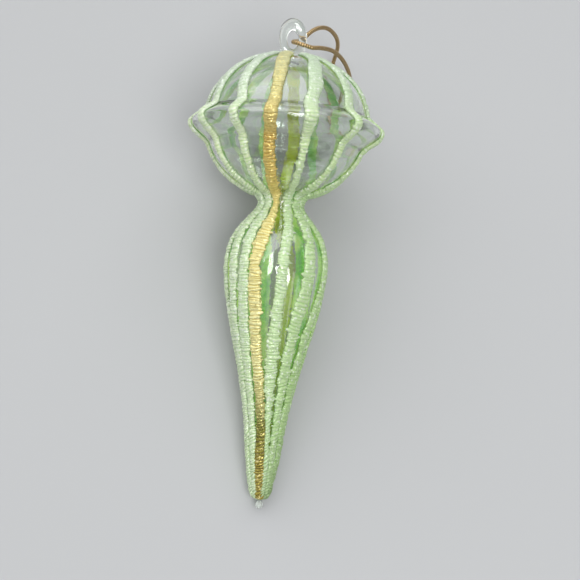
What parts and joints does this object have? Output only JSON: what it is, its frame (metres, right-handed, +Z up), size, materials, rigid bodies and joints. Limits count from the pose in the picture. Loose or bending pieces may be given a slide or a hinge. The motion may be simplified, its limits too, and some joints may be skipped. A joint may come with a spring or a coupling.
{
  "type": "glass finial ornament",
  "caption": "Blown clear glass finial with a ridged bulb, a long pointed drop, raised glitter ribs, a hanging eye and a looped cord, lying on its side.",
  "frame": {"origin": "centre of the bottom of the ornament's box as it lies on a table, with the cord and its knot left out", "axes": "+Y along the table towards the hanging eye, with the tip at -Y; +Z up, away from the table"},
  "size_m": [0.065, 0.1644, 0.0631],
  "materials": {
    "clear_glass": "clear, glossy, very faintly green",
    "mint_glitter": "white and mint green glitter set in clear glue, rough and sparkling",
    "gold_glitter": "gold glitter set in clear glue, rough and sparkling",
    "gold_cord": "wound metallic gold thread"
  },
  "bodies": {
    "root": {"glass_body": "clear_glass", "hanging_eye": "clear_glass", "tip_bead": "clear_glass", "gold_rib_front": "gold_glitter", "gold_rib_back": "gold_glitter", "mint_rib_01": "mint_glitter", "mint_rib_02": "mint_glitter", "mint_rib_03": "mint_glitter", "mint_rib_04": "mint_glitter", "mint_rib_05": "mint_glitter", "mint_rib_06": "mint_glitter", "mint_rib_07": "mint_glitter", "mint_rib_08": "mint_glitter", "mint_rib_09": "mint_glitter", "mint_rib_10": "mint_glitter", "mint_rib_11": "mint_glitter", "mint_rib_12": "mint_glitter", "hanging_cord": "gold_cord", "cord_knot": "gold_cord"}
  },
  "joints": []
}
